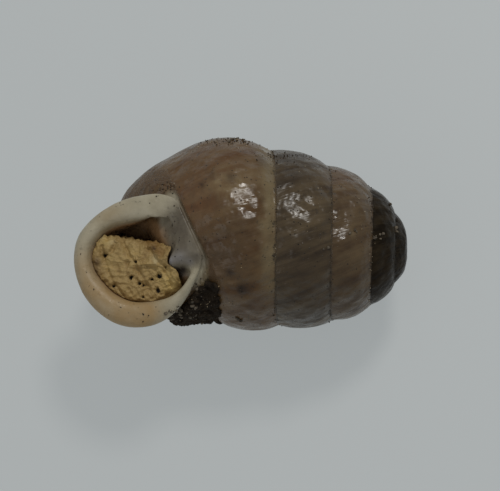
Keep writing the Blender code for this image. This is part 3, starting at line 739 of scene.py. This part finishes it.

# %% [markdown]
# The shell is thin horn over lime, so it is brown, a little glossy, and paler where it is thick. Its colour
# runs with age from the dark apex to the warm last whorl. A colour ramp on the age is the plainest way to
# say that, and keeps every colour in one list. Clouds, a pale band below the seam, paler patches where the
# shell shines, growth lines and painted shade break it up. The paler patches are partly wear and partly a
# painted sheen.

# %% Colour of the horn
HORN_BY_AGE = (
    (0.00, (0.012, 0.009, 0.006)), (0.18, (0.017, 0.012, 0.008)), (0.31, (0.018, 0.013, 0.007)),
    (0.38, (0.105, 0.061, 0.026)), (0.50, (0.095, 0.056, 0.025)), (0.58, (0.066, 0.044, 0.023)),
    (0.69, (0.060, 0.040, 0.020)), (0.77, (0.135, 0.068, 0.022)), (1.00, (0.150, 0.078, 0.024)),
)
CLOUD_TINT = (0.52, 0.46, 0.40)
CLOUD_SHARE = 0.75
FINE_CLOUD_SHARE = 0.70
# Dark colour of the spots, and of the painted shade on the darker flanks.
SPOT_AND_SHADE_COLOUR = (0.028, 0.015, 0.008)
SPOT_SHARE = 0.85
BAND_COLOUR = (0.29, 0.23, 0.125)
WARM_COLOUR = (0.170, 0.082, 0.036)
WARM_SHARE = 0.75
# Paler tan of growth lines and worn patches, and a painted sheen where the shell shines.
PALE_AND_SHEEN_COLOUR = (0.26, 0.185, 0.095)
WORN_AGES = {"low": 0.31, "high": 0.40}


def horn_ramp(tree, age):
    ramp = add_node(tree, "ShaderNodeValToRGB", {0: age})
    stops = ramp.color_ramp.elements
    while len(stops) < len(HORN_BY_AGE):
        stops.new(0.5)
    for stop, (place, colour) in zip(stops, HORN_BY_AGE):
        stop.position = place
        stop.color = (*colour, 1)
    return ramp.outputs[0]


def band_mask(tree, in_mm, fine_cloud):
    """The pale band under the last seam, with ragged edges and brown flecks."""
    flecked = times_plus(tree, fine_cloud, 0.35, times(tree, mottle(tree, in_mm, 7.0, 0.8), 0.55))
    return step(tree, times_plus(tree, attribute(tree, "band"), 0.9, flecked), 0.55, 1.65, high_out=0.85)


def horn_colour(tree, in_mm, lines):
    """The brown outside: horn by age, clouds, band, patches of wear and painted sheen, lines, painted shade,
    spots.
    """
    colour = horn_ramp(tree, attribute(tree, "age"))
    cloud, fine_cloud = mottle(tree, in_mm, 4.5, 0.9), mottle(tree, in_mm, 16.0, 0.8)
    colour = mix_colour(tree, times(tree, cloud, CLOUD_SHARE), colour, CLOUD_TINT, "MULTIPLY")
    colour = mix_colour(tree, times(tree, attribute(tree, "warm"), WARM_SHARE), colour, WARM_COLOUR)
    colour = mix_colour(tree, band_mask(tree, in_mm, fine_cloud), colour, BAND_COLOUR)
    colour = mix_colour(tree, times(tree, fine_cloud, FINE_CLOUD_SHARE), colour, CLOUD_TINT, "MULTIPLY")
    # Paler patches, partly wear and partly a painted sheen where the shell shines.
    colour = mix_colour(tree, times(tree, attribute(tree, "pale"), fine_cloud), colour, PALE_AND_SHEEN_COLOUR)
    lined = step(tree, attribute(tree, "age"), **WORN_AGES, low_out=0.08, high_out=0.30)
    colour = mix_colour(tree, times(tree, lines["Tone"], lined), colour, PALE_AND_SHEEN_COLOUR)
    # Painted shade on the darker flanks.
    colour = mix_colour(tree, attribute(tree, "shade"), colour, SPOT_AND_SHADE_COLOUR)
    return mix_colour(tree, times(tree, attribute(tree, "spots"), SPOT_SHARE), colour, SPOT_AND_SHADE_COLOUR)


print("the horn's colour has", len(HORN_BY_AGE), "ages")

# %% [markdown]
# The lip is bare lime: off-white and stained tan below. Lime also lies thinly over the body beside the
# mouth, and lets its brown through as grey. It is made like the horn, as one colour that others are mixed
# into.

# %% Colour of the lime
LIME_COLOUR = (0.54, 0.485, 0.355)
LIME_SHADE = (0.36, 0.315, 0.215)
STAIN_COLOUR = (0.40, 0.255, 0.105)
CALLUS_COLOUR = (0.090, 0.068, 0.048)
THROAT_COLOUR = (0.300, 0.175, 0.085)
THROAT_SHARE = 0.95
# Painted shade for the recess beside the tooth.
NOOK_SHADE_COLOUR = (0.022, 0.014, 0.011)
TOOTH_COLOUR = (0.30, 0.285, 0.29)


def lime_colour(tree, in_mm):
    """The bare lime of the lip, its stains, and the thin grey callus on the body."""
    cloud = mottle(tree, in_mm, 5.0, 1.0)
    colour = mix_colour(tree, cloud, LIME_COLOUR, LIME_SHADE)
    rusty = times(tree, attribute(tree, "stain"), times_plus(tree, cloud, 0.4, 0.6))
    colour = mix_colour(tree, rusty, colour, STAIN_COLOUR)
    grey = times(tree, attribute(tree, "callus"), times_plus(tree, cloud, 0.35, 0.6))
    return mix_colour(tree, grey, colour, CALLUS_COLOUR)


def shell_colour(tree, in_mm, lines):
    """Horn outside, lime on the lip, then the tooth, the throat and painted shade in the recess beside the
    tooth.
    """
    horn, lime = horn_colour(tree, in_mm, lines), lime_colour(tree, in_mm)
    colour = mix_colour(tree, attribute(tree, "lip"), horn, lime)
    colour = mix_colour(tree, attribute(tree, "tooth"), colour, TOOTH_COLOUR)
    colour = mix_colour(tree, times(tree, attribute(tree, "throat"), THROAT_SHARE), colour, THROAT_COLOUR)
    # Painted shade darkens the recess beside the tooth.
    return mix_colour(tree, attribute(tree, "nook_shade"), colour, NOOK_SHADE_COLOUR)


print("lime is", round(sum(LIME_COLOUR) / sum(CALLUS_COLOUR), 1), "times as bright as the callus")

# %% [markdown]
# All of the shell is one finish, because on the real thing one surface runs from horn to lime without an
# edge. Horn is gently hammered and shines in broken patches, lime is softer and duller. Grime gathers in
# the seams.

# %% Shell finish
GRIME_COLOUR = (0.012, 0.008, 0.005)
GRIME_SHARE = 0.8
SPECK_SIZE = 0.022
SHELL_BUMP_MM = 0.011


def grime_amount(tree):
    """Most in the seams, some on the callus, least on the lip."""
    on_lip = times_plus(tree, attribute(tree, "lip"), -0.04, 0.06)
    in_seams = times_plus(tree, attribute(tree, "seam"), 0.30, on_lip)
    return times_plus(tree, attribute(tree, "callus"), 0.05, in_seams)


def shell_height(tree, in_mm, lines, grime):
    lip = attribute(tree, "lip")
    wide, small = noise_at(tree, in_mm, 5.5, 1.0, 0.5), noise_at(tree, in_mm, 13.0, 1.0)
    dimples = times_plus(tree, wide, 4.2, small)
    on_horn = times(tree, times_plus(tree, lines["Height"], 0.42, dimples), maths(tree, "SUBTRACT", 1.0, lip))
    on_lip = noise_at(tree, in_mm, 8.0, 4.0, 0.6)
    both = times_plus(tree, on_lip, times(tree, lip, 1.4), on_horn)
    return times_plus(tree, grime["Height"], 0.4, both)


def make_shell_finish():
    material, tree, shader, in_mm = new_material("horn_and_lime")
    growth = add_node(tree, "ShaderNodeUVMap", uv_map="growth").outputs[0]
    lines = use_group(tree, GROWTH_LINES, {"Growth": growth})
    grime = use_group(tree, GRIME, {"Vector": in_mm, "Amount": grime_amount(tree), "Speck size": SPECK_SIZE})
    colour = shell_colour(tree, in_mm, lines)
    colour = mix_colour(tree, times(tree, grime["Mask"], GRIME_SHARE), colour, GRIME_COLOUR)
    gloss = step(tree, noise_at(tree, in_mm, 9.0, 3.0, 0.6), 0.3, 0.75, low_out=0.20, high_out=0.42)
    gloss = times_plus(tree, attribute(tree, "lip"), 0.12, gloss)
    roughness = maths(tree, "MAXIMUM", gloss, times(tree, grime["Mask"], 0.85))
    finish_surface(tree, shader, colour, roughness, shell_height(tree, in_mm, lines, grime), SHELL_BUMP_MM)
    shine = step(tree, attribute(tree, "age"), **WORN_AGES, low_out=0.08, high_out=0.46)
    feed(tree, shader.inputs["Specular IOR Level"], shine)
    return material


dress(shell, make_shell_finish())

# %% [markdown]
# The animal dried up inside, and its remains close the mouth as a crumpled, beige film. First come the
# places of its creases, holes and patches of colour, and two helpers: how far a point is from a crease, and
# how to keep the film out of the shell's wall.

# %% Creases, holes and patches of the plug
PITS = (
    (136, 261.5, 1.5), (159.5, 276, 2.4), (158, 290, 2.4), (139.6, 283, 2.0), (131, 277, 2.2),
    (143, 296.5, 1.3), (104.5, 255, 2.2), (113.5, 286, 1.5), (166.5, 267, 1.4), (152, 279, 1.4),
    (143, 285, 1.5),
)
CREASES = (
    ((144, 236), (147, 248), (157, 260), (168, 268)), ((150, 249), (158, 262), (172, 284)),
    ((102, 246), (105, 262), (112, 280), (124, 296)), ((122, 240), (128, 252), (138, 270), (150, 288)),
    ((115, 243), (112, 251), (104, 256)), ((131, 277), (141, 283), (150, 290)),
)
FILM_MARKS = {
    "brown": (
        (97, 262, 5, 0.9), (95, 272, 5, 0.9), (99, 285, 5, 0.9), (107, 295, 5, 0.7), (154, 248, 2.5, 1.0),
    ),
    "flap": ((154, 242, 8, 1.0), (160, 252, 6, 1.0), (148, 238, 5, 0.7)),
    "yellow": (
        (168, 280, 11, 0.9), (175, 288, 6, 0.8), (106, 240, 6, 0.9), (110, 262, 8, 0.4), (133, 252, 8, 0.3),
    ),
    "white": ((154, 257, 2.6, 0.9), (156, 261, 2.4, 0.9), (101, 238, 2.5, 0.5), (112, 242, 3.0, 0.4)),
}
WALL_REACH = 0.095


def to_segment(points, start, end):
    """Distance of points on the page from a stretch between two of its points, seen from the reader."""
    along = np.array((end - start)[:2])
    offset = points[:, :2] - np.array(start[:2])
    share = np.clip(offset @ along / (along @ along), 0, 1)
    return np.linalg.norm(offset - share[:, None] * along, axis=1)


def keep_clear(points, surface, gap):
    """Moves points that are in the shell's wall, or nearer than the gap, to the open side."""
    cleared = points.copy()
    for k, p in enumerate(points):
        place, normal, _, _ = surface.find_nearest(Vector(p), gap + WALL_REACH)
        if place is not None and (Vector(p) - place).dot(normal) < gap:
            cleared[k] = place + normal * gap
    return cleared


print("the film has", len(CREASES), "creases and", len(PITS), "holes")

# %% [markdown]
# The film starts as a copy of its solid, drawn out to the lip on the left and to the tooth at the upper
# right. Noise with sharp creases folds it, and the deeper creases and the holes are pushed in. Cloth
# simulation would crumple it too, but not where the real film is creased.

# %% Dried plug
PLUG_MIDDLE = (140, 268)
PLUG_LEVELS = 4
FRONT_HEIGHTS = (-0.50, -0.22)
OUT_FROM_MIDDLE = (0.15, 0.42)
SPREAD = 0.095
RIM_LIFT = 0.045
FLAP_SPREAD = 0.060
FLAP_X, FLAP_Y = (0.0, 0.14), (-0.06, 0.06)
FOLD_SCALE, FOLD_HEIGHT = 6.5, 0.026
FINE_FOLD_SCALE, FINE_FOLD_HEIGHT = 26.0, 0.009
RAGGED_SCALE, RAGGED_BY = 14.0, 0.03
RAGGED_TOP = (-0.30, -0.16)
CREASE_DEPTH = 0.022
CREASE_WIDTH = 0.018
PIT_DEPTH = 0.050
PIT_ROUGHNESS_SCALE, PIT_ROUGHNESS = 40.0, 0.7
FACES_READER = (0.1, 0.7)
TO_LEFT_OF_LIP, LEFTWARD = (0.75, 0.66), (-0.35, 0.35)
FOLDED_AT_BACK = 0.25
WALL_GAP = 0.006


def spread_front(points):
    """Draws the front of the plug out to the lip, and the flap at its upper right towards the tooth."""
    height = mouth_places(points)[3]
    front = ease(*FRONT_HEIGHTS, height)
    offset = points - np.array(page_at_pixel(*PLUG_MIDDLE))
    distance = np.maximum(np.hypot(offset[:, 0], offset[:, 1]), 1e-6)
    leftward = ease(*LEFTWARD, -(offset[:, :2] @ TO_LEFT_OF_LIP) / distance)
    move = SPREAD * front * leftward * ease(*OUT_FROM_MIDDLE, distance)
    points[:, :2] += offset[:, :2] * (move / distance)[:, None]
    points[:, 0] += FLAP_SPREAD * ease(*FLAP_X, offset[:, 0]) * ease(*FLAP_Y, offset[:, 1]) * front
    return points + MOUTH_NORMAL * (RIM_LIFT * front * ease(*OUT_FROM_MIDDLE, distance))[:, None]


def dent(points, facing):
    """How far each point is pushed in by the creases, and how much of it is a pit."""
    depth, pits = np.zeros(len(points)), np.zeros(len(points))
    for line in CREASES:
        ends = [page_at_pixel(*pixel) for pixel in line]
        near = np.min([to_segment(points, a, b) for a, b in zip(ends, ends[1:])], axis=0)
        depth += CREASE_DEPTH * np.exp(-((near / CREASE_WIDTH) ** 2))
    ragged = 1 + PIT_ROUGHNESS * wobble(points, PIT_ROUGHNESS_SCALE, 2, 9.0)
    for x, y, radius in PITS:
        pits = np.maximum(pits, soft_disc(points, x, y, radius * ragged) * facing)
    return (depth + PIT_DEPTH * pits) * facing, pits


def shape_plug(obj):
    facing = ease(*FACES_READER, points_of(obj, "normal") @ MOUTH_NORMAL)
    points = spread_front(points_of(obj))
    folds = 0.5 - np.abs(wobble(points, FOLD_SCALE, 3, 2.0)) * 2
    fine = wobble(points, FINE_FOLD_SCALE, 3, 8.0)
    height = folds * FOLD_HEIGHT + fine * FINE_FOLD_HEIGHT
    height *= FOLDED_AT_BACK + (1 - FOLDED_AT_BACK) * facing
    points += MOUTH_NORMAL * height[:, None]
    points[:, 1] += wobble(points, RAGGED_SCALE, 3, 4.0) * RAGGED_BY * ease(*RAGGED_TOP, points[:, 1])
    depth, pits = dent(points, facing)
    set_points(obj, keep_clear(points - MOUTH_NORMAL * depth[:, None], shell_surface, WALL_GAP))
    store(obj, "folds", folds)
    store(obj, "pits", pits)
    for name, places in FILM_MARKS.items():
        store(obj, name, marks(points, places))


plug = copy_of_solid("dried_plug", "dried_plug_film")
subdivide(plug, PLUG_LEVELS)
shape_plug(plug)
print("plug:", len(plug.data.polygons), "faces")

# %% [markdown]
# Dried tissue is matt and blotchy: beige and yellow, brown in the folds, and nearly black in the holes, where
# the black is painted shade. It is mixed colour by colour, with the same clouds and stored marks as the
# shell, so that no place looks painted on.

# %% Plug finish
FILM_COLOUR = (0.45, 0.31, 0.125)
FILM_BROWN = (0.27, 0.165, 0.058)
FILM_MARK_COLOURS = {
    "yellow": (0.58, 0.42, 0.155), "flap": (0.24, 0.125, 0.028), "brown": (0.085, 0.042, 0.018),
    "white": (0.62, 0.52, 0.30),
}
# Painted shade: the holes in the film are painted nearly black.
PIT_SHADE_COLOUR = (0.015, 0.009, 0.006)
FILM_ROUGHNESS = 0.62
FILM_BUMP_MM = 0.012


def make_plug_finish():
    material, tree, shader, in_mm = new_material("dried_tissue")
    blotch, fine = mottle(tree, in_mm, 6.0, 0.9), mottle(tree, in_mm, 26.0, 0.7)
    low = step(tree, attribute(tree, "folds"), -0.6, 0.2, low_out=0.8, high_out=0.0)
    brown = maths(tree, "MAXIMUM", times(tree, blotch, 0.7), low)
    colour = mix_colour(tree, brown, FILM_COLOUR, FILM_BROWN)
    colour = mix_colour(tree, times(tree, fine, 0.30), colour, FILM_MARK_COLOURS["yellow"])
    for name, mark_colour in FILM_MARK_COLOURS.items():
        share = times(tree, attribute(tree, name), times_plus(tree, fine, 0.4, 0.65))
        share = add_node(tree, "ShaderNodeClamp", {0: share}).outputs[0]
        colour = mix_colour(tree, share, colour, mark_colour)
    # Painted shade makes the holes nearly black.
    colour = mix_colour(tree, step(tree, attribute(tree, "pits"), 0.25, 0.7), colour, PIT_SHADE_COLOUR)
    height = times_plus(tree, noise_at(tree, in_mm, 60.0, 4.0, 0.65), 0.4, noise_at(tree, in_mm, 20.0, 4.0))
    finish_surface(tree, shader, colour, FILM_ROUGHNESS, height, FILM_BUMP_MM)
    return material


dress(plug, make_plug_finish())

# %% [markdown]
# Soil has packed into the nook under the lip. It is a clod rather than a film: lumps all over, with a ragged
# outline, nearly black. Folded noise makes the lumps round with sharp valleys, as packed grains are.

# %% Soil behind the lip
SOIL_LEVELS = 4
CLOD_SCALE, CLOD_HEIGHT = 11.0, 0.050
FINE_CLOD_SCALE, FINE_CLOD_HEIGHT = 34.0, 0.010
SOIL_GAP = 0.001
SOIL_NUDGES = ((222, 325, 7, -0.070, 0.040), (218, 300, 8, -0.030, 0.0))
SOIL_COLOUR = (0.010, 0.007, 0.005)
SOIL_BROWN = (0.045, 0.031, 0.019)
SOIL_ROUGHNESS = 0.9
SOIL_BUMP_MM = 0.020
SOIL_SHINE = 0.15


def shape_soil(obj):
    points = points_of(obj)
    normals = points_of(obj, "normal")
    clods = 0.5 - np.abs(wobble(points, CLOD_SCALE, 2, 1.0))
    move = clods * CLOD_HEIGHT + wobble(points, FINE_CLOD_SCALE, 3, 6.0) * FINE_CLOD_HEIGHT
    points = nudge(points + normals * move[:, None], NUDGES + SOIL_NUDGES)
    set_points(obj, keep_clear(points, shell_surface, SOIL_GAP))


def make_soil_finish():
    material, tree, shader, in_mm = new_material("packed_soil")
    colour = mix_colour(tree, mottle(tree, in_mm, 12.0, 0.7), SOIL_COLOUR, SOIL_BROWN)
    height = times_plus(tree, noise_at(tree, in_mm, 70.0, 4.0, 0.7), 0.5, noise_at(tree, in_mm, 28.0, 4.0))
    finish_surface(tree, shader, colour, SOIL_ROUGHNESS, height, SOIL_BUMP_MM)
    shader.inputs["Specular IOR Level"].default_value = SOIL_SHINE
    return material


soil = copy_of_solid("soil_clump", "packed_soil")
subdivide(soil, SOIL_LEVELS)
shape_soil(soil)
dress(soil, make_soil_finish())
soil_surface = surface_tree(soil)
print("soil:", len(soil.data.polygons), "faces")

# %% [markdown]
# Grit is many small stones. One stone is modelled: an icosphere, flattened and dented by noise, which is
# enough for a grain a few hundredths of a millimetre across.

# %% One stone
STONE_SHAPE = (1.0, 0.8, 0.6)
DENT_SCALE, DENT = 1.7, 0.28

random.seed(7)
bpy.ops.object.select_all(action="DESELECT")
bpy.ops.mesh.primitive_ico_sphere_add(subdivisions=2, radius=1.0)
stone = bpy.context.object
stone.name = "stone_pattern"
bpy.ops.object.mode_set(mode="EDIT")
bpy.ops.mesh.select_all(action="SELECT")
bpy.ops.transform.resize(value=STONE_SHAPE)
bpy.ops.object.mode_set(mode="OBJECT")
STONE_POINTS = np.array([v.co * (1 + DENT * noise.noise(v.co * DENT_SCALE)) for v in stone.data.vertices])
STONE_FACES = np.array([tuple(f.vertices) for f in stone.data.polygons])
bpy.data.objects.remove(stone)
print("one stone has", len(STONE_FACES), "faces")

# %% [markdown]
# The stone is copied by arrays of numbers into one mesh for each kind of grit, each copy turned and sized by
# a seeded random draw. Hundreds of separate objects would look the same and be far slower.

# %% Heaps of stones
SUNK = 0.35


def random_turn():
    """A random rotation, as a 3 by 3 array."""
    axis = Vector((random.gauss(0, 1), random.gauss(0, 1), random.gauss(0, 1))).normalized()
    return np.array(Matrix.Rotation(random.uniform(0, 2 * math.pi), 3, axis))


def heap(name, places, sizes):
    """One mesh of stones: a place and a normal for each, and the least and greatest size in millimetres."""
    points = []
    for place, normal in places:
        size = sizes[0] + (sizes[1] - sizes[0]) * random.random() ** 2
        points.append(STONE_POINTS @ random_turn().T * size + np.array(place + normal * size * SUNK))
    faces = np.concatenate([STONE_FACES + k * len(STONE_POINTS) for k in range(len(places))])
    mesh = bpy.data.meshes.new(name)
    mesh.from_pydata(np.concatenate(points).tolist(), [], faces.tolist())
    mesh.update()
    mesh.shade_smooth()
    obj = bpy.data.objects.new(name, mesh)
    bpy.context.scene.collection.objects.link(obj)
    return obj


print("a stone is sunk by", SUNK, "of its size")

# %% [markdown]
# Every stone sits on a surface, as soil and sand stick to a damp shell. A ray from the camera's side finds
# the place under a pixel, and along a seam the nearest point of the shell is taken.

# %% Where stones lie
FROM_CAMERA = Vector((0, 0, -1))
RAY_LENGTH = 3
TRIES_PER_STONE = 3
CLUSTER_TURNS = (0.002, 0.02)


def under_pixel(x, y):
    """Place and normal on the shell or the soil under a pixel, or None past their outline."""
    above = page_at_pixel(x, y) - FROM_CAMERA * RAY_LENGTH
    hits = [surface.ray_cast(above, FROM_CAMERA)[:2] for surface in (shell_surface, soil_surface)]
    hits = [hit for hit in hits if hit[0] is not None]
    return max(hits, key=lambda hit: hit[0].z) if hits else None


def near_pixel(x, y, spread_x, spread_y, count):
    """Stones strewn round a pixel."""
    found = []
    for _ in range(count * TRIES_PER_STONE):
        spot = under_pixel(random.gauss(x, spread_x), random.gauss(y, spread_y))
        if spot and len(found) < count:
            found.append(spot)
    return found


def along_seam(first, last, clusters, most, spread):
    """Stones in clusters along the seam, from one turn to another."""
    found = []
    for _ in range(clusters):
        middle, length = random.uniform(first, last), random.uniform(*CLUSTER_TURNS)
        for _ in range(random.randint(1, most)):
            rough = seam_point(min(random.gauss(middle, length), last))
            rough += Vector((random.gauss(0, spread), random.gauss(0, spread), random.gauss(0, spread)))
            place, normal, _, _ = shell_surface.find_nearest(rough)
            found.append((place, normal))
    return found


print("under the middle of the picture:", under_pixel(250, 245)[0].to_tuple(2))

# %% [markdown]
# Three kinds of grit show. Dark soil fills the seams and the rim of the top edge, pale grains of sand are
# caught among it, and a few larger crumbs sit in the third seam and beside the soil. Each place is a pixel,
# a spread in x and y and a number of stones, and more lie in small clusters along the whole seam.

# %% Grit
DARK_PLACES = (
    (230, 140, 20, 3, 90), (285, 156, 16, 3, 50), (165, 187, 7, 4, 46), (202, 300, 8, 9, 60),
    (186, 312, 7, 4, 40), (169, 216, 1, 1, 3), (174, 207, 1, 1, 2), (173, 225, 1, 1, 2),
    (271, 155, 5, 2, 16), (240, 289, 4, 3, 8),
)
LIP_SPECKS = (
    (144, 313), (149, 316), (144, 321), (121, 307), (95, 289), (90, 286), (81, 255), (121, 203),
    (157, 197),
)
PALE_PLACES = (
    (228, 143, 24, 3, 26), (290, 166, 14, 8, 14), (202, 300, 8, 9, 12), (182, 310, 8, 5, 14),
    (168, 186, 6, 3, 12), (350, 200, 30, 20, 14), (242, 266, 1, 1, 2), (219, 286, 1, 1, 2),
    (228, 303, 2, 1, 3), (318, 188, 1, 1, 2), (305, 232, 1, 1, 2),
)
CRUMB_PLACES = (
    (377, 236, 4.5, 3, 9), (350, 231, 3, 2, 4), (396, 230, 2, 2, 3), (182, 311, 9, 5, 22),
    (326, 248, 2, 1, 2), (235, 138, 12, 2, 8), (392, 205, 2, 2, 2), (240, 320, 4, 2, 3),
    (197, 292, 6, 8, 5),
)
SPECK_SPREAD = (0.6, 0.6, 2)
SEAM_SPREAD = 0.022
DARK_SIZES = (0.003, 0.010)
PALE_SIZES = (0.003, 0.008)
CRUMB_SIZES = (0.010, 0.024)


def strewn(places):
    return [spot for x, y, wide, high, count in places for spot in near_pixel(x, y, wide, high, count)]


specks = [(x, y, *SPECK_SPREAD) for x, y in LIP_SPECKS]
dark_stones = strewn(DARK_PLACES) + strewn(specks) + along_seam(1.4, 5.1, 70, 6, SEAM_SPREAD)
dark_grit = heap("dark_grit", dark_stones, DARK_SIZES)
pale_grit = heap("pale_grit", strewn(PALE_PLACES) + along_seam(1.6, 5.1, 34, 3, SEAM_SPREAD), PALE_SIZES)
crumbs = heap("soil_crumbs", strewn(CRUMB_PLACES), CRUMB_SIZES)
print("stones:", [len(obj.data.polygons) // len(STONE_FACES) for obj in (dark_grit, pale_grit, crumbs)])

# %% [markdown]
# Soil grains are dull and dark, sand grains are pale and catch the light, and crumbs are in between. The
# three finishes differ only in two colours and a roughness, so one function makes them.

# %% Grit finishes
GRIT_BUMP_MM = 0.004
GRIT_FINISHES = (
    (dark_grit, "soil_grains", (0.018, 0.014, 0.010), (0.075, 0.050, 0.028), 0.85),
    (pale_grit, "sand_grains", (0.45, 0.40, 0.30), (0.30, 0.20, 0.09), 0.35),
    (crumbs, "crumb_grains", (0.21, 0.17, 0.12), (0.05, 0.038, 0.026), 0.8),
)


def make_grit_finish(name, colour, other, roughness):
    material, tree, shader, in_mm = new_material(name)
    mixed = mix_colour(tree, mottle(tree, in_mm, 24.0, 0.5), colour, other)
    finish_surface(tree, shader, mixed, roughness, noise_at(tree, in_mm, 90.0, 3.0), GRIT_BUMP_MM)
    return material


for obj, *finish in GRIT_FINISHES:
    dress(obj, make_grit_finish(*finish))
print("grit faces:", [len(obj.data.polygons) for obj in (dark_grit, pale_grit, crumbs)])

# %% [markdown]
# Last, every piece is laid from the page onto the table and rides on the shell's one body. The three copies
# stand for their solids. The grit stands for nothing: it is only in the look.

# %% Lay the pieces down
STANDS_FOR = ((shell, "shell"), (plug, "dried_plug"), (soil, "soil_clump"))
LOOSE = ((dark_grit, "soil_clump"), (pale_grit, "soil_clump"), (crumbs, "soil_clump"))

for piece, slot in STANDS_FOR + LOOSE:
    piece.data.transform(PAGE_TO_TABLE)
    piece.data.update()
    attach(piece, "root")
for piece, node in STANDS_FOR:
    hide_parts(node)

# %% [markdown]
# Everything is in its place, so the scene is closed.
